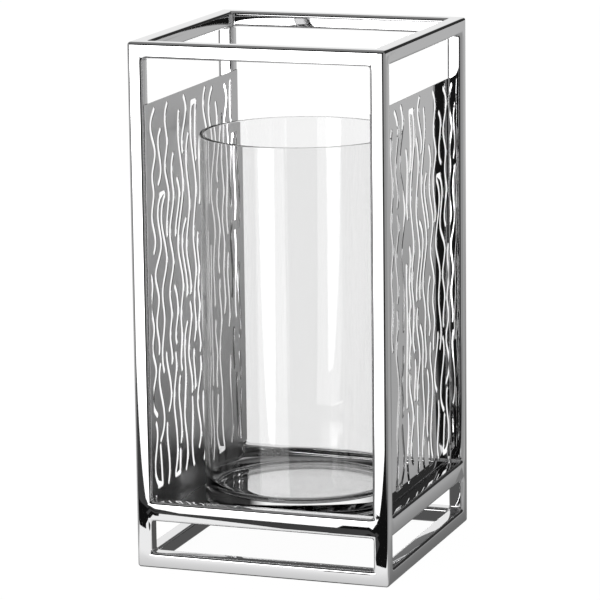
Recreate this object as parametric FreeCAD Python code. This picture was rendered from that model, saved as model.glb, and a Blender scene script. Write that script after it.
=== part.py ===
# Candle lantern: a polished open box frame of square steel tube with two slotted side sheets
# and a loose glass cylinder that stands on a floor plate. Millimetres, +Z up. The origin is
# the middle of the base, on the surface that the lantern stands on; the front faces -Y.
import FreeCAD, Part
import math
import os

# Frame
frame_width = 200.0          # left to right, outside
frame_depth = 200.0          # front to rear, outside
frame_height = 400.0
tube_side = 12.0             # square tube of the posts, the base and the top
tube_wall = 1.0
tube_edge_radius = 2.5
shelf_underside = 36.5       # height of the underside of the shelf rails
shelf_rail_height = 15.0
plate_thickness = 1.5

# Welds, ground to small hollow fillets in the corners of the windows
weld_leg = 2.5
weld_length = 8.0

# Side sheets
sheet_thickness = 0.6
sheet_end_setback = 2.5      # from the front and rear faces of the frame
sheet_top_gap = 35.0         # open band between a sheet and the top rail
sheet_floor_gap = 0.3
notch_clearance = 0.3        # round the ends of the front and rear shelf rails and their welds
slot_width = 4.4
slot_bar_height = 4.5        # of the bar that joins two slots
slot_bar_radius = 2.0        # at the two outer corners of that bar

# Glass cylinder
glass_side_clearance = 10.4   # to the nearest sheet or rail
glass_rim_depth = 78.0       # from the top of the frame down to the rim
glass_seat_gap = 0.05
glass_wall = 3.2
glass_floor_thickness = 12.0
glass_heel_radius = 3.0
glass_rim_radius = 0.8       # on both edges of the flat rim
glass_corner_radius = 9.0    # inside, between wall and floor

# Sizes that follow from the ones above
half_width = frame_width / 2
half_depth = frame_depth / 2
top_rail_underside = frame_height - tube_side
shelf_top = shelf_underside + shelf_rail_height
plate_top = shelf_underside + plate_thickness
sheet_low = plate_top + sheet_floor_gap
sheet_high = top_rail_underside - sheet_top_gap
sheet_half_length = half_depth - sheet_end_setback
clear_width = frame_width - 2 * (tube_side + sheet_thickness)
clear_depth = frame_depth - 2 * tube_side
glass_radius = min(clear_width, clear_depth) / 2 - glass_side_clearance
glass_low = plate_top + glass_seat_gap
glass_rim = frame_height - glass_rim_depth

# Each side is modelled as the rear one, along X with +Y outwards, and turned into place
SIDE_TURN = {"rear": 0, "left": 90, "front": 180, "right": 270}

# The slots are drawn on a sheet that reaches from -97.5 to 97.5 along and from 38.3 to 353
# in height, and are spread over the real sheet. Each slot is a run of (along, height) points
# down its middle.
DRAWN_HALF_LENGTH = 97.5
DRAWN_LOW = 38.3
DRAWN_HIGH = 353.0
DRAWN_SLOT_WIDTH = 4.4
SLOTS = [
    [(-79, 347), (-85.5, 330), (-78.5, 314), (-85, 297), (-82.5, 285), (-87, 268), (-81, 248), (-84, 240)],
    [(-67.5, 330), (-72, 322), (-68.5, 307), (-72.5, 290.5)],
    [(-53, 347.5), (-57.5, 336), (-54, 318), (-59.2, 301), (-52.8, 282), (-57.5, 255), (-57, 248.5)],
    [(-42.5, 307.5), (-46, 295), (-42.8, 276), (-51.5, 247), (-45.3, 226), (-53.8, 202), (-50.4, 187),
     (-54.6, 171), (-51.5, 155), (-52, 149)],
    [(-90.5, 222.5), (-88.5, 214), (-91.7, 199), (-87, 182), (-90.6, 167), (-84.5, 150), (-90.8, 135),
     (-84, 115)],
    [(-29.5, 338), (-30.6, 316), (-22.8, 280), (-35, 235), (-26, 203), (-31.5, 182), (-30.4, 168),
     (-33, 148), (-31.5, 139.5)],
    [(-18.5, 348), (-15, 337), (-23.2, 317), (-22.5, 307)],
    [(-11, 318), (-15.5, 296), (-10, 263), (-17.6, 231), (-9.8, 200), (-10.5, 195.5)],
    [(-18.5, 253.5), (-26, 232), (-18, 205), (-18.5, 195)],
    [(-35, 287.5), (-31, 274), (-39, 252), (-40, 246)],
    [(6.5, 238), (5.5, 226), (8, 211), (5.5, 196), (8, 183), (5.5, 168), (8.5, 152), (7.5, 146.5)],
    [(-43.5, 206), (-38, 192), (-38.5, 183), (-43, 168), (-41.5, 162.5)],
    [(-76, 152), (-78.5, 144), (-71, 118), (-77.5, 94.5)],
    [(-63, 158), (-59, 143), (-54.5, 127), (-59.5, 114)],
    [(-64, 103.5), (-64.5, 95), (-62, 80), (-63.5, 58.5)],
    [(-36, 134), (-38.5, 118), (-34.5, 95), (-36, 84)],
    [(-19, 173), (-25, 158), (-24, 135), (-27.5, 100), (-23, 78), (-26.5, 60)],
    [(-12, 187), (-10, 178), (-17, 150), (-11, 127), (-11, 118)],
    [(-6, 148.5), (-6.5, 143), (-4.5, 130), (-4.5, 119.5)],
    [(-11, 112), (-11, 100), (-12, 90), (-10, 59.5)],
    [(8, 140), (8, 131), (0, 108), (6, 82), (2, 71)],
    [(49, 333), (51, 315), (47, 290), (51, 262), (47, 245), (51, 225), (48.5, 203), (51, 183), (49, 168.5)],
    [(41, 346), (34, 327), (40, 302), (34.5, 283), (36, 275)],
    [(36, 267), (33.5, 259), (40, 238), (35.5, 215), (37, 203)],
    [(26, 348), (22, 336), (30, 311), (18.5, 268), (27.5, 238), (22, 210), (24, 190), (24, 179)],
    [(25, 165), (24.5, 156), (28.5, 140), (26, 122), (27, 114)],
    [(14, 313), (11.5, 300), (12.5, 285), (11, 262)],
    [(15, 226), (14.5, 208), (13.5, 190), (14, 165), (15.5, 130), (15, 118)],
    [(12, 111), (11.5, 103), (14, 86), (12, 59)],
    [(69, 344), (72.5, 331), (67.5, 317), (70, 295), (67, 272), (69, 250)],
    [(82, 346), (80.5, 333), (82, 315)],
    [(60.5, 322), (58.5, 300), (60.5, 280), (58, 255), (60, 230)],
    [(69, 236), (66.5, 216), (69.5, 196), (67, 178)],
    [(60, 212), (58.5, 192), (61.5, 172), (59.5, 156)],
    [(77, 227), (78, 207), (76, 184), (77, 160)],
    [(85, 200), (83, 180), (86, 160), (84, 142)],
    [(70, 150), (68.5, 136), (70.5, 120)],
    [(62.5, 130), (61, 108), (64, 86), (62, 62)],
    [(76, 112), (74.5, 96), (76, 80), (75, 62)],
    [(85, 98), (83, 80), (84.5, 60)],
    [(83, 128), (85, 118), (83.5, 108)],
]
# Pairs of slots joined by a bar at their first points: (points of one leg, points of the other)
JOINED_SLOTS = [
    ([(-70.5, 279), (-75, 264), (-70, 241), (-82, 222), (-76, 203), (-81, 186), (-77, 168), (-77.5, 162)],
     [(-61.2, 279), (-67.5, 258), (-59, 228), (-68.5, 207), (-65.5, 187), (-70.5, 165), (-68.5, 146)]),
    ([(-2.8, 339), (-5, 316), (4, 273), (-3, 236), (1.5, 211), (-3, 190), (-1, 174), (-4, 157)],
     [(5.8, 339), (3.5, 312), (5, 297)]),
    ([(78.3, 301), (76.5, 280), (79, 258), (77.5, 238)],
     [(87, 301), (84.5, 279), (87.5, 255), (86, 231)]),
    ([(-84.8, 62.5), (-89, 83), (-84.5, 100), (-86.5, 109)],
     [(-76.2, 62.5), (-78, 82), (-79, 90)]),
    ([(-48.7, 62.5), (-45.5, 97), (-49, 122), (-43, 145), (-44, 154)],
     [(-39.5, 62.5), (-38.2, 77)]),
    ([(30.2, 62.5), (24, 79), (27, 97), (28, 105)],
     [(42.8, 62.5), (39, 84), (40, 105), (35.5, 142), (41, 167), (37, 190), (38, 195)]),
]


def vector(x, y, z):
    return FreeCAD.Vector(x, y, z)


def box(low, high):
    size = [b - a for a, b in zip(low, high)]
    return Part.makeBox(size[0], size[1], size[2], vector(*low))


def joined_edges(edges):
    """One closed wire of the edges, with a straight line wherever two of them don't meet."""
    chain = []
    for edge, following in zip(edges, edges[1:] + edges[:1]):
        chain.append(edge)
        end = edge.valueAt(edge.LastParameter)
        start = following.valueAt(following.FirstParameter)
        if end.distanceToPoint(start) > 1e-6:
            chain.append(Part.makeLine(end, start))
    return Part.Wire(chain)


def rounded_rectangle(width, height, radius):
    """Closed wire in the YZ plane, centred on the X axis."""
    corners = []
    for turn, (side, rise) in enumerate([(1, 1), (-1, 1), (-1, -1), (1, -1)]):
        centre = vector(0, side * (width / 2 - radius), rise * (height / 2 - radius))
        corners.append([centre, 90 * turn])
    edges = []
    for centre, start in corners:
        points = []
        for step in (0, 45, 90):
            angle = math.radians(start + step)
            points.append(centre + vector(0, radius * math.cos(angle), radius * math.sin(angle)))
        edges.append(Part.Arc(*points).toShape())
    return joined_edges(edges)


def tube(length, width, height):
    """Square tube along X from -length/2 to length/2, centred on the axis."""
    outer = rounded_rectangle(width, height, tube_edge_radius)
    bore_radius = max(tube_edge_radius - tube_wall, 0.2)
    bore = rounded_rectangle(width - 2 * tube_wall, height - 2 * tube_wall, bore_radius)
    face = Part.makeFace([outer, bore], "Part::FaceMakerBullseye")
    face.translate(vector(-length / 2, 0, 0))
    return face.extrude(vector(length, 0, 0))


def side_halves(side):
    """Half the frame along a side, and from the middle of the lantern out to its face."""
    if side in ("front", "rear"):
        return half_width, half_depth
    return half_depth, half_width


def turned(shape, side):
    shape.rotate(vector(0, 0, 0), vector(0, 0, 1), SIDE_TURN[side])
    return shape


def mitred_rail(side, middle_height):
    """Rail of the base or top frame: full length outside, cut at 45 degrees at both ends."""
    along, out = side_halves(side)
    rail = tube(2 * along, tube_side, tube_side)
    rail.translate(vector(0, out - tube_side / 2, middle_height))
    corners = [vector(-along, out, 0), vector(along, out, 0),
               vector(along - tube_side, out - tube_side, 0), vector(tube_side - along, out - tube_side, 0)]
    keep = Part.Face(Part.makePolygon(corners + corners[:1])).extrude(vector(0, 0, frame_height))
    # The frame's four upright corners are rounded like the posts below or above them
    plan = rounded_rectangle(2 * along, 2 * out, tube_edge_radius)
    plan.rotate(vector(0, 0, 0), vector(0, 1, 0), 90)
    plan.rotate(vector(0, 0, 0), vector(0, 0, 1), 90)
    keep = keep.common(Part.Face(plan).extrude(vector(0, 0, frame_height)))
    return turned(rail.common(keep), side)


def shelf_rail(side):
    """Rail of the shelf, butted between two posts."""
    along, out = side_halves(side)
    rail = tube(2 * (along - tube_side), tube_side, shelf_rail_height)
    rail.translate(vector(0, out - tube_side / 2, shelf_underside + shelf_rail_height / 2))
    return turned(rail, side)


def post(x_side, y_side):
    upright = tube(top_rail_underside - tube_side, tube_side, tube_side)
    upright.rotate(vector(0, 0, 0), vector(0, 1, 0), 90)
    upright.translate(vector(x_side * (half_width - tube_side / 2), y_side * (half_depth - tube_side / 2),
                             (top_rail_underside + tube_side) / 2))
    return upright


def weld(side, end, height, rise):
    """Hollow fillet in a window's corner, at one end of a side; rise is 1 above a rail, -1 below."""
    along, out = side_halves(side)
    corner = vector(end * (along - tube_side), out - tube_side / 2 - weld_length / 2, height)
    inward = vector(-end * weld_leg, 0, 0)
    upward = vector(0, 0, rise * weld_leg)
    bend = (inward + upward) * (1 - math.sqrt(0.5))
    hollow = Part.Arc(corner + inward, corner + bend, corner + upward).toShape()
    sides = [Part.makeLine(corner + upward, corner), Part.makeLine(corner, corner + inward)]
    face = Part.Face(Part.Wire([hollow] + sides))
    return turned(face.extrude(vector(0, weld_length, 0)), side)


def welds(levels):
    """All the welds of one group, where levels gives (height, rise) pairs."""
    return [weld(side, end, height, rise) for side in SIDE_TURN for end in (-1, 1) for height, rise in levels]


def on_sheet(point):
    """The place on the real sheet of a point of the drawing."""
    spread = (sheet_high - sheet_low) / (DRAWN_HIGH - DRAWN_LOW)
    return vector(point[0] * sheet_half_length / DRAWN_HALF_LENGTH, 0,
                  sheet_low + (point[1] - DRAWN_LOW) * spread)


def with_tip_in_place(end, before):
    """The end of a slot's middle line, placed so that the slot's tip stays put at any slot width."""
    heading = end - before
    return end - heading.normalize() * ((slot_width - DRAWN_SLOT_WIDTH) / 2)


def middle_line(points):
    """Points down the middle of a slot on the real sheet. In slots wider than the drawn ones the waves are
    flatter, so that neighbours keep apart."""
    waves = min(1.0, (DRAWN_SLOT_WIDTH / slot_width) ** 2)
    first, last = points[0], points[-1]
    line = []
    for along, height in points:
        straight = first[0] + (last[0] - first[0]) * (height - first[1]) / (last[1] - first[1])
        line.append(on_sheet((straight + (along - straight) * waves, height)))
    line[-1] = with_tip_in_place(line[-1], line[-2])
    return line


def slot_sides(line):
    """The two long edges of a slot, and the rounded tip at its last point, as three edges."""
    middle = Part.BSplineCurve()
    middle.interpolate(line)
    steps = 4 * (len(line) - 1)
    sides = []
    for sign in (1, -1):
        places = []
        for step in range(steps + 1):
            place = middle.FirstParameter + (middle.LastParameter - middle.FirstParameter) * step / steps
            heading = middle.tangent(place)[0]
            across = vector(heading.z, 0, -heading.x)
            places.append(middle.value(place) + across * (sign * slot_width / 2))
        sides.append(places)
    tip = middle.value(middle.LastParameter) + middle.tangent(middle.LastParameter)[0] * (slot_width / 2)
    down = Part.BSplineCurve()
    down.interpolate(sides[0])
    back = Part.BSplineCurve()
    back.interpolate(sides[1][::-1])
    return down.toShape(), Part.Arc(sides[0][-1], tip, sides[1][-1]).toShape(), back.toShape()


def slot(points):
    line = middle_line(points)
    line[0] = with_tip_in_place(line[0], line[1])
    down, tip, back = slot_sides(line)
    heading = line[0] - line[1]
    top = line[0] + heading.normalize() * (slot_width / 2)
    first = back.valueAt(back.LastParameter)
    last = down.valueAt(down.FirstParameter)
    return joined_edges([down, tip, back, Part.Arc(first, top, last).toShape()])


def joined_slots(one, other):
    """Two slots that start from the ends of one bar."""
    runs = [slot_sides(middle_line(one)), slot_sides(middle_line(other))]
    if (other[0][0] - one[0][0]) * (one[1][1] - one[0][1]) > 0:
        runs = runs[::-1]
    rise = slot_bar_height if one[0][1] > one[1][1] else -slot_bar_height
    start = runs[0][0].valueAt(runs[0][0].FirstParameter)
    end = runs[1][2].valueAt(runs[1][2].LastParameter)
    level = on_sheet(one[0]).z + rise
    along = math.copysign(slot_bar_radius, start.x - end.x)
    down = -math.copysign(slot_bar_radius, rise)
    bend = 1 - math.sqrt(0.5)
    corners = []
    for x, inward in ((end.x, along), (start.x, -along)):
        leg_end = vector(x, 0, level + down)
        middle = vector(x + inward * bend, 0, level + down * bend)
        corners.append([leg_end, middle, vector(x + inward, 0, level)])
    first = Part.Arc(*corners[0]).toShape()
    second = Part.Arc(*corners[1][::-1]).toShape()
    return joined_edges([*runs[0], *runs[1], first, second])


def side_sheet(side):
    """Slotted sheet on the inner faces of two posts, notched round two shelf rails."""
    across = half_width - tube_side
    notch_along = half_depth - tube_side - notch_clearance
    notch_top = shelf_top + weld_leg + notch_clearance
    corners = [(-notch_along, sheet_low), (notch_along, sheet_low), (notch_along, notch_top),
               (sheet_half_length, notch_top), (sheet_half_length, sheet_high),
               (-sheet_half_length, sheet_high), (-sheet_half_length, notch_top), (-notch_along, notch_top)]
    outline = [vector(x, 0, z) for x, z in corners]
    wires = [Part.makePolygon(outline + outline[:1])]
    wires += [slot(points) for points in SLOTS]
    wires += [joined_slots(one, other) for one, other in JOINED_SLOTS]
    face = Part.makeFace(wires, "Part::FaceMakerBullseye")
    face.translate(vector(0, across - sheet_thickness, 0))
    return turned(face.extrude(vector(0, sheet_thickness, 0)), side)


def floor_plate():
    reach_x = half_width - tube_side
    reach_y = half_depth - tube_side
    return box((-reach_x, -reach_y, shelf_underside), (reach_x, reach_y, plate_top))


def quarter_arc(centre_x, centre_z, radius, start, turn=90):
    """Quarter circle in the XZ plane, from a start angle in degrees."""
    points = []
    for angle in (start, start + turn / 2, start + turn):
        along = radius * math.cos(math.radians(angle))
        points.append(vector(centre_x + along, 0, centre_z + radius * math.sin(math.radians(angle))))
    return Part.Arc(*points).toShape()


def glass_cylinder():
    """Heavy-bottomed glass turned from its half section: rounded heel, rim and inner corner."""
    inner_radius = glass_radius - glass_wall
    inner_floor = glass_low + glass_floor_thickness
    rim_centre = glass_rim - glass_rim_radius
    heel = quarter_arc(glass_radius - glass_heel_radius, glass_low + glass_heel_radius,
                       glass_heel_radius, -90)
    rim_outside = quarter_arc(glass_radius - glass_rim_radius, rim_centre, glass_rim_radius, 0)
    rim_inside = quarter_arc(inner_radius + glass_rim_radius, rim_centre, glass_rim_radius, 90)
    corner = quarter_arc(inner_radius - glass_corner_radius, inner_floor + glass_corner_radius,
                         glass_corner_radius, 0, -90)
    axis = Part.makeLine(vector(0, 0, inner_floor), vector(0, 0, glass_low))
    section = Part.Face(joined_edges([heel, rim_outside, rim_inside, corner, axis]))
    return section.revolve(vector(0, 0, 0), vector(0, 0, 1), 360)


nodes = {
    "floor_plate": [floor_plate()],
    "glass_cylinder": [glass_cylinder()],
    "side_sheet_left": [side_sheet("left")],
    "side_sheet_right": [side_sheet("right")],
    "welds_base": welds([(tube_side, 1)]),
    "welds_shelf": welds([(shelf_underside, -1), (shelf_top, 1)]),
    "welds_top": welds([(top_rail_underside, -1)]),
}
for side in SIDE_TURN:
    nodes["base_rail_" + side] = [mitred_rail(side, tube_side / 2)]
    nodes["shelf_rail_" + side] = [shelf_rail(side)]
    nodes["top_rail_" + side] = [mitred_rail(side, frame_height - tube_side / 2)]
for y_name, y_side in (("front", -1), ("rear", 1)):
    for x_name, x_side in (("left", -1), ("right", 1)):
        nodes["post_" + y_name + "_" + x_name] = [post(x_side, y_side)]

os.makedirs("parts", exist_ok=True)
for name, solids in sorted(nodes.items()):
    shape = solids[0] if len(solids) == 1 else Part.makeCompound(solids)
    if not shape.isValid():
        raise ValueError(name + " is not a valid solid")
    shape.exportStep("parts/" + name + ".step")
    extent = shape.BoundBox
    print(f"{name:18s} {len(shape.Solids):3d} solid  {shape.Volume / 1000:8.2f} cm3  "
          f"z {extent.ZMin:7.2f} to {extent.ZMax:7.2f}")
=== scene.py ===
"""Looks of the candle lantern: polished steel frame, slotted side sheets and clear glass."""

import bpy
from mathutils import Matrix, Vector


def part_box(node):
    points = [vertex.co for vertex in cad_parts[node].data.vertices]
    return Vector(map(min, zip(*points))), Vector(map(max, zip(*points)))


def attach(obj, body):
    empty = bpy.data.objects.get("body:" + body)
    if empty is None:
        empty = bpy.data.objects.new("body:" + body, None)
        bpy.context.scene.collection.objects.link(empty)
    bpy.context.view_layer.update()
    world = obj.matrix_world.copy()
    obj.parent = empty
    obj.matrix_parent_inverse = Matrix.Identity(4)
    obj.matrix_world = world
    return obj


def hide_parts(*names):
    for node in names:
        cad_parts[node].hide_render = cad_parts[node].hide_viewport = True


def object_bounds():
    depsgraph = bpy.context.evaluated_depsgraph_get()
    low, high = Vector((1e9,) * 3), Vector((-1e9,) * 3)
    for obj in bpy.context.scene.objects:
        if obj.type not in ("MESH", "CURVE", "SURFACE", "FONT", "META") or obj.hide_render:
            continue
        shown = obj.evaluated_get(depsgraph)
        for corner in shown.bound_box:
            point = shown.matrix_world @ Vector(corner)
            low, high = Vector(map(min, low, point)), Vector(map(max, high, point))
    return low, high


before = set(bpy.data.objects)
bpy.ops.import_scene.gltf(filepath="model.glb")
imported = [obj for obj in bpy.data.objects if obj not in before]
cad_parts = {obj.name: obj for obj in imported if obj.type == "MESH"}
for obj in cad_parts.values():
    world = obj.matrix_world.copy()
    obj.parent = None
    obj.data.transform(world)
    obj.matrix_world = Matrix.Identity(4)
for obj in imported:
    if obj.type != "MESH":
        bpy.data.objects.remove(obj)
cad_bounds = [list(corner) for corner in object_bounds()]

import math

import bpy
from bpy.props import FloatProperty, FloatVectorProperty, IntProperty, PointerProperty
from mathutils import Matrix, Vector

bl_info = {
    "name": "Candle Lantern",
    "version": (1, 0, 0),
    "blender": (4, 5, 0),
    "location": "View3D > Sidebar > Lantern",
    "description": "Builds the visible pieces of a candle lantern and the studio round it",
    "category": "Add Mesh",
}

MM = 0.001
SIDES = {"front": 1, "rear": 1, "left": 0, "right": 0}     # side: the axis that it lies out on
POSTS = {"front_left": (-1, -1), "front_right": (1, -1), "rear_left": (-1, 1), "rear_right": (1, 1)}
SHARP = math.radians(35)     # edges sharper than this stay crisp in the shading
TOUCH = 0.01 * MM            # places nearer than this are the same place


# Settings

class LanternFrameSettings(bpy.types.PropertyGroup):
    """Shape and finish of the welded frame."""
    edge_radius: FloatProperty(
        name="Edge radius", description="Rounding along the edges of the tube and in its welded corners",
        default=2.5 * MM, min=0.5 * MM, max=5 * MM, unit="LENGTH")
    edge_steps: IntProperty(
        name="Edge steps", description="Faces across one rounded edge", default=6, min=2, max=12)
    weld_reach: FloatProperty(
        name="Weld reach", description="How far a welded corner reaches along the tubes that meet in it",
        default=3.0 * MM, min=1 * MM, max=8 * MM, unit="LENGTH")
    steel_colour: FloatVectorProperty(
        name="Steel colour", description="Colour of the polished tube and sheet",
        default=(0.90, 0.90, 0.905), size=3, min=0, max=1, subtype="COLOR")
    steel_roughness: FloatProperty(
        name="Steel roughness", description="Blur of the reflections in the polished steel",
        default=0.03, min=0, max=1, subtype="FACTOR")
    satin_roughness: FloatProperty(
        name="Satin roughness", description="Blur of the reflections on the inner faces of the side sheets",
        default=0.28, min=0, max=1, subtype="FACTOR")
    # Painted shade: a dark colour on the cut edges of the side sheets, along the slot walls and the sheet
    # ends, standing in for the shade there.
    cut_edge_painted_shade: FloatVectorProperty(
        name="Cut edge colour", description="Colour of the steel where the slots are cut",
        default=(0.16, 0.16, 0.165), size=3, min=0, max=1, subtype="COLOR")


class LanternGlassSettings(bpy.types.PropertyGroup):
    """Shape and finish of the glass cylinder."""
    wall: FloatProperty(
        name="Wall", description="Thickness of the glass wall", default=3.2 * MM, unit="LENGTH")
    bottom: FloatProperty(
        name="Bottom", description="Thickness of the solid bottom", default=12 * MM, unit="LENGTH")
    heel_radius: FloatProperty(
        name="Heel radius", description="Rounding outside, under the wall", default=3 * MM, unit="LENGTH")
    corner_radius: FloatProperty(
        name="Corner radius", description="Rounding inside, between wall and bottom",
        default=9 * MM, unit="LENGTH")
    rim_radius: FloatProperty(
        name="Rim radius", description="Rounding of the two edges of the rim",
        default=0.8 * MM, unit="LENGTH")
    steps_round: IntProperty(
        name="Steps round", description="Faces round the cylinder", default=256, min=48, max=512)
    refraction: FloatProperty(
        name="Refractive index", description="Refractive index of soda-lime glass", default=1.5, min=1, max=2)


class LanternStageSettings(bpy.types.PropertyGroup):
    """Camera, floor and the studio that the steel reflects."""
    camera_place: FloatVectorProperty(
        name="Camera place", description="Where the camera stands", default=(0.9137, -2.5632, 0.7536),
        size=3, subtype="XYZ", unit="LENGTH")
    camera_yaw: FloatProperty(
        name="Yaw", description="Turn of the view to the left of the depth axis",
        default=math.radians(19.67), unit="ROTATION", subtype="ANGLE")
    camera_pitch: FloatProperty(
        name="Pitch", description="Downward tilt of the view",
        default=math.radians(11.658), unit="ROTATION", subtype="ANGLE")
    camera_roll: FloatProperty(
        name="Roll", description="Turn of the picture about its middle",
        default=math.radians(-0.713), unit="ROTATION", subtype="ANGLE")
    camera_lens: FloatProperty(
        name="Focal length", description="Focal length in millimetres on a 36 mm sensor",
        default=218.574, subtype="DISTANCE_CAMERA", unit="CAMERA")
    floor_glow: FloatProperty(
        name="Floor glow", description="Light that the pale floor gives of itself",
        default=0.97, min=0, max=2)
    room_light: FloatProperty(
        name="Room light", description="Strength of the even light from all round",
        default=0.80, min=0, max=3)


# Tools for meshes

def deselect_all():
    bpy.ops.object.select_all(action="DESELECT")


def pick(thing):
    """Make one object the only selected and the active one."""
    deselect_all()
    thing.select_set(True)
    bpy.context.view_layer.objects.active = thing


def select_in_mesh(thing, kind, wanted):
    """In edit mode, select only the faces or edges that wanted says yes to."""
    bpy.ops.mesh.select_mode(type=kind)
    bpy.ops.mesh.select_all(action="DESELECT")
    bpy.ops.object.mode_set(mode="OBJECT")
    mesh = thing.data
    elements = mesh.polygons if kind == "FACE" else mesh.edges
    for element in elements:
        places = [mesh.vertices[i].co for i in element.vertices]
        if wanted(element, places):
            element.select = True
    bpy.ops.object.mode_set(mode="EDIT")


def smooth_with_flat_faces(thing):
    """Smooth shading in which each large flat face keeps its own direction."""
    pick(thing)
    bpy.ops.object.shade_smooth_by_angle(angle=SHARP)
    weighting = thing.modifiers.new("face weights", "WEIGHTED_NORMAL")
    weighting.mode = "FACE_AREA"
    weighting.keep_sharp = True
    bpy.ops.object.modifier_apply(modifier=weighting.name)


def copy_of(thing, name):
    copy = thing.copy()
    copy.data = thing.data.copy()
    copy.name = name
    copy.data.name = name
    bpy.context.scene.collection.objects.link(copy)
    return copy


def keep_inside(thing, low, high):
    """Cut away all of a closed mesh outside a box; a limit of infinity cuts nothing."""
    pick(thing)
    bpy.ops.object.mode_set(mode="EDIT")
    for axis in range(3):
        for limit, outward in ((low[axis], -1), (high[axis], 1)):
            if math.isinf(limit):
                continue
            place = Vector((0, 0, 0))
            place[axis] = limit
            normal = Vector((0, 0, 0))
            normal[axis] = outward
            bpy.ops.mesh.select_all(action="SELECT")
            bpy.ops.mesh.bisect(plane_co=place, plane_no=normal, use_fill=True, clear_outer=True)
    bpy.ops.object.mode_set(mode="OBJECT")


def cut_piece(whole, name, regions):
    """One object made of the parts of a closed mesh inside each of the regions."""
    parts = []
    for low, high in regions:
        part = copy_of(whole, name)
        keep_inside(part, low, high)
        parts.append(part)
    deselect_all()
    for part in parts:
        part.select_set(True)
    bpy.context.view_layer.objects.active = parts[0]
    if len(parts) > 1:
        bpy.ops.object.join()
    piece = bpy.context.object
    piece.name = name
    pick(piece)
    bpy.ops.object.shade_smooth_by_angle(angle=SHARP)
    return piece


# Tools for materials

class NodeBoard:
    """A material's or world's node tree, with short calls to add nodes and join them."""

    def __init__(self, owner):
        owner.use_nodes = True
        self.tree = owner.node_tree
        self.tree.nodes.clear()

    def add(self, kind, **values):
        """A new node; each value goes to its input of that name, or else to its property."""
        node = self.tree.nodes.new(kind)
        for name, value in values.items():
            title = name.replace("_", " ").title()
            if title in node.inputs:
                self.set_input(node, title, value)
            else:
                setattr(node, name, value)
        return node

    def set_input(self, node, name, value):
        if isinstance(value, bpy.types.NodeSocket):
            self.tree.links.new(value, node.inputs[name])
        else:
            node.inputs[name].default_value = value

    def math(self, operation, first, second=None):
        """The result of one arithmetic step; each side is a socket or a number."""
        node = self.tree.nodes.new("ShaderNodeMath")
        node.operation = operation
        self.set_input(node, 0, first)
        if second is not None:
            self.set_input(node, 1, second)
        return node.outputs["Value"]

    def ramp(self, factor, stops):
        """Colour from a factor through (place, grey) stops."""
        node = self.tree.nodes.new("ShaderNodeValToRGB")
        elements = node.color_ramp.elements
        elements[0].position, first_grey = stops[0]
        elements[0].color = (first_grey, first_grey, first_grey, 1)
        elements[1].position, last_grey = stops[-1]
        elements[1].color = (last_grey, last_grey, last_grey, 1)
        for place, grey in stops[1:-1]:
            element = elements.new(place)
            element.color = (grey, grey, grey, 1)
        self.tree.links.new(factor, node.inputs["Fac"])
        return node.outputs["Color"]


RIPPLE_DEPTH = 0.02 * MM     # of the slow ripple in a mirror-polished surface
BUFFING_SCALE = 240.0        # of the faint marks that the buffing wheel leaves
BUFFING_DEPTH = 0.02 * MM
PATCH_SCALE = 22.0           # of patches that differ a little in blur and tint
PATCH_BLUR = (0.4, 1.6)      # least and most blur of a patch, as shares of the steel's roughness
PATCH_TINT = 0.985           # darkest patch, as a share of the steel's colour
SHEET_RIPPLE_SCALE = 20.0
SHEET_RIPPLE_DEPTH = 0.03 * MM
SHEET_SKIN = 0.1             # share of a sheet's thickness that counts as its face
CUT_ROUGHNESS = 0.45
GLASS_TINT = (0.95, 0.95, 0.95, 1)
GLASS_WAVE_SCALE = 28.0
GLASS_WAVE_STRETCH = (1, 1, 0.35)
GLASS_WAVE_DEPTH = 0.03 * MM


def polished_steel(name, ripple_size):
    """Mirror-polished steel: faint buffing marks and a slow ripple in the surface."""
    settings = bpy.context.scene.lantern_frame
    material = bpy.data.materials.new(name)
    board = NodeBoard(material)
    place = board.add("ShaderNodeTexCoord").outputs["Object"]
    buffing = board.add("ShaderNodeTexNoise", vector=place, scale=BUFFING_SCALE, detail=3.0)
    patches = board.add("ShaderNodeTexNoise", vector=place, scale=PATCH_SCALE, detail=2.0)
    ripple = board.add("ShaderNodeTexNoise", vector=place, scale=1 / ripple_size, detail=1.0)
    rough = settings.steel_roughness
    blur = board.add("ShaderNodeMapRange", value=patches.outputs["Fac"])
    blur.inputs["To Min"].default_value = PATCH_BLUR[0] * rough
    blur.inputs["To Max"].default_value = PATCH_BLUR[1] * rough
    tint = board.tree.nodes.new("ShaderNodeValToRGB")
    tint.color_ramp.elements[0].color = (*[part * PATCH_TINT for part in settings.steel_colour], 1)
    tint.color_ramp.elements[1].color = (*settings.steel_colour, 1)
    board.tree.links.new(patches.outputs["Fac"], tint.inputs["Fac"])
    fine = board.add("ShaderNodeBump", strength=0.02, distance=BUFFING_DEPTH, height=buffing.outputs["Fac"])
    slow = board.add("ShaderNodeBump", strength=1.0, distance=RIPPLE_DEPTH, height=ripple.outputs["Fac"],
                     normal=fine.outputs["Normal"])
    shader = board.add("ShaderNodeBsdfPrincipled", metallic=1.0, base_color=tint.outputs["Color"],
                       roughness=blur.outputs["Result"], normal=slow.outputs["Normal"])
    board.add("ShaderNodeOutputMaterial", surface=shader.outputs["BSDF"])
    return material


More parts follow.
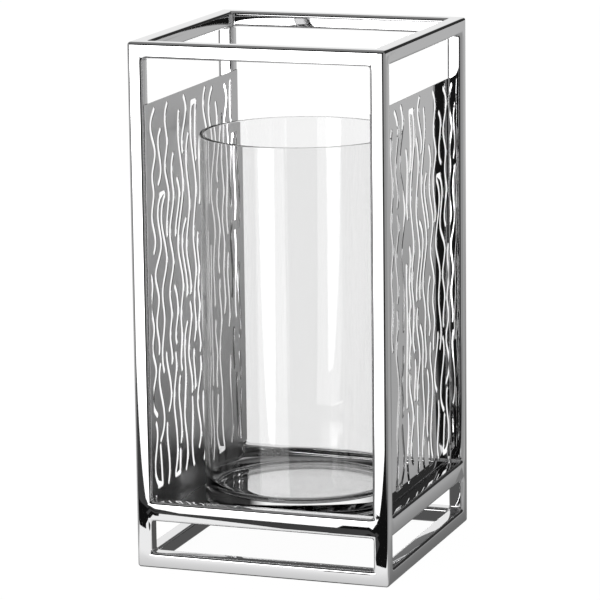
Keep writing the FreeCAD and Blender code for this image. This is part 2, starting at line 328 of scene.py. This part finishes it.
def side_sheet_steel(name, inner, outer):
    """Sheet that is satin on its inner face and mirror polished on its outer face, with painted shade on its
    cut edges: a dark colour there, not the steel's.
    inner and outer are the distances of its two faces from the middle of the lantern."""
    settings = bpy.context.scene.lantern_frame
    material = bpy.data.materials.new(name)
    board = NodeBoard(material)
    place = board.add("ShaderNodeTexCoord").outputs["Object"]
    across = board.add("ShaderNodeSeparateXYZ", vector=place)
    distance = board.math("ABSOLUTE", across.outputs["X"])
    depth = board.math("DIVIDE", board.math("SUBTRACT", distance, inner), outer - inner)
    steel = tuple(settings.steel_colour)
    # The middle of the sheet's thickness, seen only where it is cut, gets painted shade: a dark colour
    # instead of the steel's.
    faces = ((0.0, steel, settings.satin_roughness), (SHEET_SKIN, settings.cut_edge_painted_shade, CUT_ROUGHNESS),
             (1 - SHEET_SKIN, steel, settings.steel_roughness))
    colour = board.tree.nodes.new("ShaderNodeValToRGB")
    blur = board.tree.nodes.new("ShaderNodeValToRGB")
    for ramp in (colour.color_ramp, blur.color_ramp):
        ramp.interpolation = "CONSTANT"
        ramp.elements.new(0.5)       # the third element; all three get their places below
    for index, (start, tint, roughness) in enumerate(faces):
        colour.color_ramp.elements[index].position = start
        colour.color_ramp.elements[index].color = (*tint, 1)
        blur.color_ramp.elements[index].position = start
        blur.color_ramp.elements[index].color = (roughness, roughness, roughness, 1)
    board.tree.links.new(depth, colour.inputs["Fac"])
    board.tree.links.new(depth, blur.inputs["Fac"])
    ripple = board.add("ShaderNodeTexNoise", vector=place, scale=SHEET_RIPPLE_SCALE, detail=1.0)
    slow = board.add("ShaderNodeBump", strength=1.0, distance=SHEET_RIPPLE_DEPTH,
                     height=ripple.outputs["Fac"])
    shader = board.add("ShaderNodeBsdfPrincipled", metallic=1.0, base_color=colour.outputs["Color"],
                       roughness=blur.outputs["Color"], normal=slow.outputs["Normal"])
    board.add("ShaderNodeOutputMaterial", surface=shader.outputs["BSDF"])
    return material


def clear_glass(name):
    """Clear soda-lime glass whose surface is very slightly uneven, as blown glass is."""
    settings = bpy.context.scene.lantern_glass
    material = bpy.data.materials.new(name)
    board = NodeBoard(material)
    place = board.add("ShaderNodeTexCoord").outputs["Object"]
    stretched = board.add("ShaderNodeMapping", vector=place)
    stretched.inputs["Scale"].default_value = GLASS_WAVE_STRETCH
    waves = board.add("ShaderNodeTexNoise", vector=stretched.outputs["Vector"], scale=GLASS_WAVE_SCALE,
                      detail=1.0)
    uneven = board.add("ShaderNodeBump", strength=1.0, distance=GLASS_WAVE_DEPTH, height=waves.outputs["Fac"])
    shader = board.add("ShaderNodeBsdfPrincipled", base_color=GLASS_TINT, roughness=0.0,
                       normal=uneven.outputs["Normal"])
    shader.inputs["IOR"].default_value = settings.refraction
    shader.inputs["Transmission Weight"].default_value = 1.0
    board.add("ShaderNodeOutputMaterial", surface=shader.outputs["BSDF"])
    return material


def dress(thing, material):
    thing.data.materials.clear()
    thing.data.materials.append(material)


# The stage

# What the steel reflects, by direction: degrees round from the front (positive to the right), radiance.
# A ramp holds no radiance above 1.
FLOOR_ROUND = [(-180, 0.85), (-142, 0.85), (-132, 0.4), (-60, 0.4), (-44, 0.06), (5, 0.006), (34, 0.01),
               (50, 0.3), (140, 0.3), (150, 0.35), (180, 0.85)]
ROOM_ROUND = [(-180, 0.5), (-176, 0.86), (-138, 0.86), (-126, 0.4), (-62, 0.4), (-45, 0.03), (0, 0.004),
              (36, 0.01), (50, 0.3), (95, 0.3), (112, 0.02), (176, 0.03), (180, 0.5)]
# The same by height, from the horizon (0) to straight up (1)
HORIZON_FADE = [(0.0, 1.0), (0.42, 1.0), (0.6, 0.06), (1.0, 0.06)]
CEILING = [(0.0, 0.0), (0.6, 0.0), (0.8, 0.16), (1.0, 0.22)]
ROOM_IN_GLASS = 1.2          # how much stronger the glass shows the room than the steel does
ROOM_RADIUS = 9
HIDDEN_FLOOR_SIZE = 17       # fits inside the room
HIDDEN_FLOOR_DROP = 1 * MM   # below the foot of the lantern
CARD_STEP = 0.1 * MM         # from one layer of cards to the next
PALE_FLOOR_SIZE = 60
PALE_FLOOR_ALBEDO = 0.06     # low, so that the floor takes only a faint shadow
BLACK = 0.006                # radiances of the cards
WHITE = 1.3
LAMP = 4.0
SOFTBOX_PLACE = -3.2         # in front of the lantern
SOFTBOX_HEIGHT = 0.9


def by_direction(board, place, round_stops):
    """Radiance that depends on the direction in which a place lies, seen from above."""
    across = board.add("ShaderNodeSeparateXYZ", vector=place)
    forward = board.math("MULTIPLY", across.outputs["Y"], -1.0)
    angle = board.math("ARCTAN2", across.outputs["X"], forward)
    turn = board.math("ADD", board.math("DIVIDE", angle, 2 * math.pi), 0.5)
    return board.ramp(turn, [((degrees + 180) / 360, grey) for degrees, grey in round_stops])


def show_by_mirror(board, seen_directly, seen_in_mirror):
    """One shader for what is seen directly or through glass, another for what the steel shows of it."""
    bounces = board.add("ShaderNodeLightPath").outputs["Glossy Depth"]
    in_mirror = board.math("GREATER_THAN", bounces, 0.5)
    mix = board.tree.nodes.new("ShaderNodeMixShader")
    board.set_input(mix, 0, in_mirror)
    board.tree.links.new(seen_directly, mix.inputs[1])
    board.tree.links.new(seen_in_mirror, mix.inputs[2])
    board.add("ShaderNodeOutputMaterial", surface=mix.outputs["Shader"])


def mirror_light(board, colour, strength, in_glass=1.0):
    """Light that is seen only as a reflection, and in_glass times as strong in the glass as in the steel."""
    sharp = board.add("ShaderNodeLightPath").outputs["Is Singular Ray"]
    share = board.math("ADD", board.math("MULTIPLY", sharp, in_glass - 1), 1.0)
    light = board.add("ShaderNodeEmission", color=colour, strength=board.math("MULTIPLY", share, strength))
    nothing = board.add("ShaderNodeBsdfTransparent")
    show_by_mirror(board, nothing.outputs["BSDF"], light.outputs["Emission"])


def reflected_floor_material():
    material = bpy.data.materials.new("reflected floor")
    board = NodeBoard(material)
    place = board.add("ShaderNodeTexCoord").outputs["Object"]
    mirror_light(board, by_direction(board, place, FLOOR_ROUND), 1.0)
    return material


def reflected_room_material():
    """Light and dark round the horizon, under a dim ceiling."""
    material = bpy.data.materials.new("reflected room")
    board = NodeBoard(material)
    place = board.add("ShaderNodeTexCoord").outputs["Object"]
    tone = by_direction(board, place, ROOM_ROUND)
    direction = board.add("ShaderNodeVectorMath", operation="NORMALIZE")
    board.tree.links.new(place, direction.inputs[0])
    height = board.add("ShaderNodeSeparateXYZ", vector=direction.outputs["Vector"])
    fade = board.ramp(height.outputs["Z"], HORIZON_FADE)
    both = board.add("ShaderNodeVectorMath", operation="MULTIPLY")
    board.tree.links.new(tone, both.inputs[0])
    board.tree.links.new(fade, both.inputs[1])
    ceiling = board.ramp(height.outputs["Z"], CEILING)
    whole = board.add("ShaderNodeVectorMath", operation="ADD")
    board.tree.links.new(both.outputs["Vector"], whole.inputs[0])
    board.tree.links.new(ceiling, whole.inputs[1])
    mirror_light(board, whole.outputs["Vector"], 1.0, in_glass=ROOM_IN_GLASS)
    return material


def only_reflected(thing):
    """Part of the studio that is seen in the steel and glass and nowhere else."""
    thing.visible_camera = False
    thing.visible_diffuse = False
    thing.visible_shadow = False
    thing.visible_volume_scatter = False


def card(name, corners, near, far=None, span=(0, 1), axis=None):
    """Four-cornered card that the steel reflects, of one radiance, or fading from near to far over a span
    of distances from the middle of the lantern, measured along one axis if one is given."""
    deselect_all()
    bpy.ops.mesh.primitive_plane_add(size=1)
    sheet = bpy.context.object
    sheet.name = name
    for vertex, corner in zip(sheet.data.vertices, (corners[0], corners[1], corners[3], corners[2])):
        vertex.co = corner
    material = bpy.data.materials.new(name)
    board = NodeBoard(material)
    strength = near
    if far:
        place = board.add("ShaderNodeTexCoord").outputs["Object"]
        if axis:
            apart = board.add("ShaderNodeSeparateXYZ", vector=place)
            distance = board.math("ABSOLUTE", apart.outputs[axis])
        else:
            length = board.add("ShaderNodeVectorMath", operation="LENGTH")
            board.tree.links.new(place, length.inputs[0])
            distance = length.outputs["Value"]
        fade = board.add("ShaderNodeMapRange", value=distance)
        fade.inputs["From Min"].default_value = span[0]
        fade.inputs["From Max"].default_value = span[1]
        fade.inputs["To Min"].default_value = near
        fade.inputs["To Max"].default_value = far
        strength = fade.outputs["Result"]
    mirror_light(board, (1, 1, 1, 1), strength)
    dress(sheet, material)
    only_reflected(sheet)


class LANTERN_OT_stage(bpy.types.Operator):
    """Set up the camera, the pale floor, the even light and the studio that the steel reflects"""
    bl_idname = "lantern.stage"
    bl_label = "Stage"

    def execute(self, context):
        settings = context.scene.lantern_stage
        self.place_camera(context, settings)
        self.lay_floor(settings)
        self.light_room(context, settings)
        return {"FINISHED"}

    def place_camera(self, context, settings):
        yaw, pitch, roll = settings.camera_yaw, settings.camera_pitch, settings.camera_roll
        ahead = Vector((-math.sin(yaw) * math.cos(pitch), math.cos(yaw) * math.cos(pitch), -math.sin(pitch)))
        level = Vector((math.cos(yaw), math.sin(yaw), 0))
        upward = level.cross(ahead)
        right = level * math.cos(roll) + upward * math.sin(roll)
        up = upward * math.cos(roll) - level * math.sin(roll)
        turn = Matrix((right, up, -ahead)).transposed().to_4x4()
        data = bpy.data.cameras.new("camera")
        data.sensor_width = 36
        data.lens = settings.camera_lens
        data.clip_start = 0.05
        data.clip_end = 100
        camera = bpy.data.objects.new("camera", data)
        context.scene.collection.objects.link(camera)
        camera.matrix_world = Matrix.Translation(settings.camera_place) @ turn
        context.scene.camera = camera
        context.scene.view_settings.view_transform = "Standard"

    def lay_floor(self, settings):
        deselect_all()
        bpy.ops.mesh.primitive_plane_add(size=PALE_FLOOR_SIZE)
        floor = bpy.context.object
        floor.name = "floor"
        material = bpy.data.materials.new("pale floor")
        board = NodeBoard(material)
        grey = (PALE_FLOOR_ALBEDO, PALE_FLOOR_ALBEDO, PALE_FLOOR_ALBEDO, 1)
        shader = board.add("ShaderNodeBsdfPrincipled", base_color=grey, roughness=1.0)
        shader.inputs["Specular IOR Level"].default_value = 0.0
        shader.inputs["Emission Color"].default_value = (1, 1, 1, 1)
        shader.inputs["Emission Strength"].default_value = settings.floor_glow
        nothing = board.add("ShaderNodeBsdfTransparent")
        show_by_mirror(board, shader.outputs["BSDF"], nothing.outputs["BSDF"])
        dress(floor, material)

    def light_room(self, context, settings):
        world = bpy.data.worlds.new("room")
        context.scene.world = world
        board = NodeBoard(world)
        light = board.add("ShaderNodeBackground", color=(1, 1, 1, 1), strength=settings.room_light)
        board.add("ShaderNodeOutputWorld", surface=light.outputs["Background"])
        deselect_all()
        bpy.ops.mesh.primitive_uv_sphere_add(segments=96, ring_count=48, radius=ROOM_RADIUS)
        room = context.object
        room.name = "reflected_room"
        dress(room, reflected_room_material())
        only_reflected(room)
        deselect_all()
        bpy.ops.mesh.primitive_plane_add(size=HIDDEN_FLOOR_SIZE, location=(0, 0, -HIDDEN_FLOOR_DROP))
        ground = context.object
        ground.name = "reflected_floor"
        bpy.ops.object.transform_apply(location=True, rotation=True, scale=True)
        dress(ground, reflected_floor_material())
        only_reflected(ground)
        self.place_cards()

    def place_cards(self):
        """Cards on the hidden floor, and a softbox that stands in front. A card of a higher layer hides those
        below it."""

        def flat(layer, *plan):
            return [(x, y, layer * CARD_STEP - HIDDEN_FLOOR_DROP) for x, y in plan]

        def upright(left, right):
            return [(left, SOFTBOX_PLACE, 0), (right, SOFTBOX_PLACE, 0),
                    (right, SOFTBOX_PLACE, SOFTBOX_HEIGHT), (left, SOFTBOX_PLACE, SOFTBOX_HEIGHT)]

        card("grey_card", flat(1, (0.06, -0.1), (2.8, 4.1), (-0.1, 5), (-0.1, 0.1)),
             near=0.15, far=0.47, span=(0, 1.9))
        card("side_card", flat(2, (0.10, -0.112), (1.7, 3.1), (1.28, 3.4), (0.10, 0.1)),
             near=0.15, far=0.38, span=(0.1, 0.17), axis="X")
        card("white_card", flat(2, (-0.12, -0.25), (-2.2, SOFTBOX_PLACE), (0.0, SOFTBOX_PLACE),
                                (0.0205, -0.235)), near=WHITE)
        card("bright_card", flat(3, (-0.15, -0.45), (-1.98, SOFTBOX_PLACE), (-0.63, SOFTBOX_PLACE),
                                 (-0.10, -0.45)), near=LAMP)
        card("softbox", upright(-1.98, -0.63), near=LAMP)
        card("softbox_edge", upright(-0.63, 0.0), near=WHITE)
        card("pale_card", flat(4, (-0.2, -0.25), (0.3, -0.235), (0.115, -0.1), (-0.15, -0.1)),
             near=0.62, far=0.92, span=(0.1, 0.15), axis="Y")
        card("dark_card_left", flat(5, (-0.7, -0.278), (-0.152, -0.278), (-0.127, -0.208), (-0.7, -0.208)),
             near=BLACK)
        card("dark_card_right", flat(5, (0.0, -0.29), (0.7, -0.293), (0.7, -0.155), (0.03, -0.155)),
             near=BLACK)
        card("dark_strip", flat(6, (-0.15, -0.268), (0.05, -0.235), (0.05, -0.16), (-0.15, -0.24)), near=0.05)
        card("under_card", flat(5, (-0.088, -0.088), (0.088, -0.088), (0.088, 0.088), (-0.088, 0.088)),
             near=0.09)


# The pieces

class LANTERN_OT_frame_tubes(bpy.types.Operator):
    """Build the welded frame with rounded edges and ground welds, and divide it into its tubes"""
    bl_idname = "lantern.frame_tubes"
    bl_label = "Frame tubes"

    def execute(self, context):
        settings = context.scene.lantern_frame
        cage = self.welded_cage(settings)
        steel = polished_steel("polished steel tube", ripple_size=60 * MM)
        for name, regions in self.regions(settings.weld_reach).items():
            piece = cut_piece(cage, name + "_polished", regions)
            dress(piece, steel)
            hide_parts(name)
            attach(piece, "frame")
        bpy.data.objects.remove(cage)
        return {"FINISHED"}

    def levels(self):
        """Heights where the tubes begin and end, from the base to the top."""
        base, shelf, top = (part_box(kind + "_rail_front") for kind in ("base", "shelf", "top"))
        return [base[0].z, base[1].z, shelf[0].z, shelf[1].z, top[0].z, top[1].z]

    def welded_cage(self, settings):
        """The whole frame as one closed mesh, made of blocks joined face to face, with its edges rounded."""
        low, high = (Vector(corner) for corner in cad_bounds)
        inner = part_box("post_front_left")[1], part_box("post_rear_right")[0]
        across = [[low[axis], inner[0][axis], inner[1][axis], high[axis]] for axis in (0, 1)]
        upward = self.levels()
        deselect_all()
        bpy.ops.mesh.primitive_cube_add(size=1)
        cage = bpy.context.object
        bpy.ops.object.mode_set(mode="EDIT")
        bpy.ops.mesh.delete(type="VERT")
        for k in range(len(upward) - 1):
            for i in range(3):
                for j in range(3):
                    is_post = i != 1 and j != 1
                    is_rail = k % 2 == 0 and (i == 1) != (j == 1)
                    if is_post or is_rail:
                        start = Vector((across[0][i], across[1][j], upward[k]))
                        end = Vector((across[0][i + 1], across[1][j + 1], upward[k + 1]))
                        bpy.ops.mesh.primitive_cube_add(size=1, location=(start + end) / 2, scale=end - start)
        bpy.ops.mesh.select_all(action="SELECT")
        bpy.ops.mesh.remove_doubles(threshold=TOUCH)
        bpy.ops.mesh.select_mode(type="FACE")
        bpy.ops.mesh.select_all(action="DESELECT")
        bpy.ops.mesh.select_interior_faces()
        bpy.ops.mesh.delete(type="FACE")
        bpy.ops.mesh.select_mode(type="EDGE")
        bpy.ops.mesh.select_all(action="DESELECT")
        bpy.ops.mesh.edges_select_sharp(sharpness=SHARP)
        bpy.ops.mesh.bevel(offset=settings.edge_radius, segments=settings.edge_steps, affect="EDGES",
                           clamp_overlap=False)
        bpy.ops.mesh.select_all(action="SELECT")
        bpy.ops.mesh.normals_make_consistent(inside=False)
        bpy.ops.object.mode_set(mode="OBJECT")
        return cage

    def regions(self, reach):
        """For each tube and each group of welds, the boxes that hold its part of the frame."""
        far = math.inf
        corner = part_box("post_rear_right")[0]
        side_x, side_y = corner.x - reach, corner.y - reach
        levels = self.levels()
        bands = {"base": (-far, levels[1] + reach), "shelf": (levels[2] - reach, levels[3] + reach),
                 "top": (levels[4] - reach, far)}
        found = {}
        columns = {}
        for post, (x_side, y_side) in POSTS.items():
            low = [side_x if x_side > 0 else -far, side_y if y_side > 0 else -far]
            high = [far if x_side > 0 else -side_x, far if y_side > 0 else -side_y]
            columns[post] = (low, high)
            spans = [(bands["base"][1], bands["shelf"][0]), (bands["shelf"][1], bands["top"][0])]
            found["post_" + post] = [((*low, bottom), (*high, top)) for bottom, top in spans]
        for level, (bottom, top) in bands.items():
            found["welds_" + level] = [((*low, bottom), (*high, top)) for low, high in columns.values()]
            for side, axis in SIDES.items():
                low = [-side_x, -side_y]
                high = [side_x, side_y]
                if side in ("front", "left"):
                    low[axis], high[axis] = -far, low[axis]
                else:
                    low[axis], high[axis] = high[axis], far
                found[level + "_rail_" + side] = [((*low, bottom), (*high, top))]
        return found


class LANTERN_OT_sheets(bpy.types.Operator):
    """Finish the slotted side sheets and the floor plate"""
    bl_idname = "lantern.sheets"
    bl_label = "Side sheets and floor plate"

    def execute(self, context):
        low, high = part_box("side_sheet_right")
        sheet_steel = side_sheet_steel("side sheet steel", low.x, high.x)
        for name in ("side_sheet_left", "side_sheet_right"):
            dress(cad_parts[name], sheet_steel)
        dress(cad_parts["floor_plate"], polished_steel("polished steel plate", ripple_size=80 * MM))
        return {"FINISHED"}


RIM_STEPS = 6                # faces across each rounded edge of the glass
CORNER_STEPS = 10
HEEL_STEPS = 6


class LANTERN_OT_glass(bpy.types.Operator):
    """Build the heavy-bottomed glass cylinder"""
    bl_idname = "lantern.glass"
    bl_label = "Glass cylinder"

    def execute(self, context):
        settings = context.scene.lantern_glass
        low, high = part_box("glass_cylinder")
        radius = (high.x - low.x) / 2
        inner = radius - settings.wall
        inner_floor = low.z + settings.bottom
        deselect_all()
        bpy.ops.mesh.primitive_cylinder_add(
            vertices=settings.steps_round, radius=radius, depth=high.z - low.z, end_fill_type="NGON",
            location=(0, 0, (low.z + high.z) / 2))
        glass = context.object
        bpy.ops.object.transform_apply(location=True, rotation=True, scale=True)
        bpy.ops.object.mode_set(mode="EDIT")
        select_in_mesh(glass, "FACE", lambda face, places: face.normal.z > 0.9)
        bpy.ops.mesh.inset(thickness=settings.wall)
        bpy.ops.mesh.extrude_region_move(TRANSFORM_OT_translate={"value": (0, 0, inner_floor - high.z)})
        self.round_edges(glass, high.z, settings.rim_radius, RIM_STEPS)
        self.round_edges(glass, inner_floor, settings.corner_radius, CORNER_STEPS)
        self.round_edges(glass, low.z, settings.heel_radius, HEEL_STEPS)
        bpy.ops.object.mode_set(mode="OBJECT")
        glass.name = "glass_cylinder_clear"
        glass.data.name = glass.name
        smooth_with_flat_faces(glass)
        dress(glass, clear_glass("clear glass"))
        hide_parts("glass_cylinder")
        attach(glass, "glass")
        return {"FINISHED"}

    def round_edges(self, glass, height, radius, steps):
        """Round every circular edge that lies at one height."""
        select_in_mesh(glass, "EDGE", lambda edge, places: all(abs(p.z - height) < TOUCH for p in places))
        bpy.ops.mesh.bevel(offset=radius, segments=steps, affect="EDGES", clamp_overlap=False)


# The add-on

OPERATORS = (LANTERN_OT_stage, LANTERN_OT_frame_tubes, LANTERN_OT_sheets, LANTERN_OT_glass)
SETTINGS = {"lantern_frame": LanternFrameSettings, "lantern_glass": LanternGlassSettings,
            "lantern_stage": LanternStageSettings}


class LANTERN_PT_panel(bpy.types.Panel):
    """Buttons and settings of the lantern"""
    bl_idname = "LANTERN_PT_panel"
    bl_label = "Candle Lantern"
    bl_space_type = "VIEW_3D"
    bl_region_type = "UI"
    bl_category = "Lantern"

    def draw(self, context):
        for operator in OPERATORS:
            self.layout.operator(operator.bl_idname)
        for name, group in SETTINGS.items():
            column = self.layout.column()
            for setting in group.__annotations__:
                column.prop(getattr(context.scene, name), setting)


def register():
    for group in SETTINGS.values():
        bpy.utils.register_class(group)
    for operator in OPERATORS:
        bpy.utils.register_class(operator)
    bpy.utils.register_class(LANTERN_PT_panel)
    for name, group in SETTINGS.items():
        setattr(bpy.types.Scene, name, PointerProperty(type=group))


def unregister():
    for name in SETTINGS:
        delattr(bpy.types.Scene, name)
    bpy.utils.unregister_class(LANTERN_PT_panel)
    for operator in reversed(OPERATORS):
        bpy.utils.unregister_class(operator)
    for group in reversed(SETTINGS.values()):
        bpy.utils.unregister_class(group)


def main():
    register()
    bpy.ops.lantern.stage()
    bpy.ops.lantern.frame_tubes()
    bpy.ops.lantern.sheets()
    bpy.ops.lantern.glass()
    bpy.context.view_layer.update()


if __name__ == "__main__":
    main()
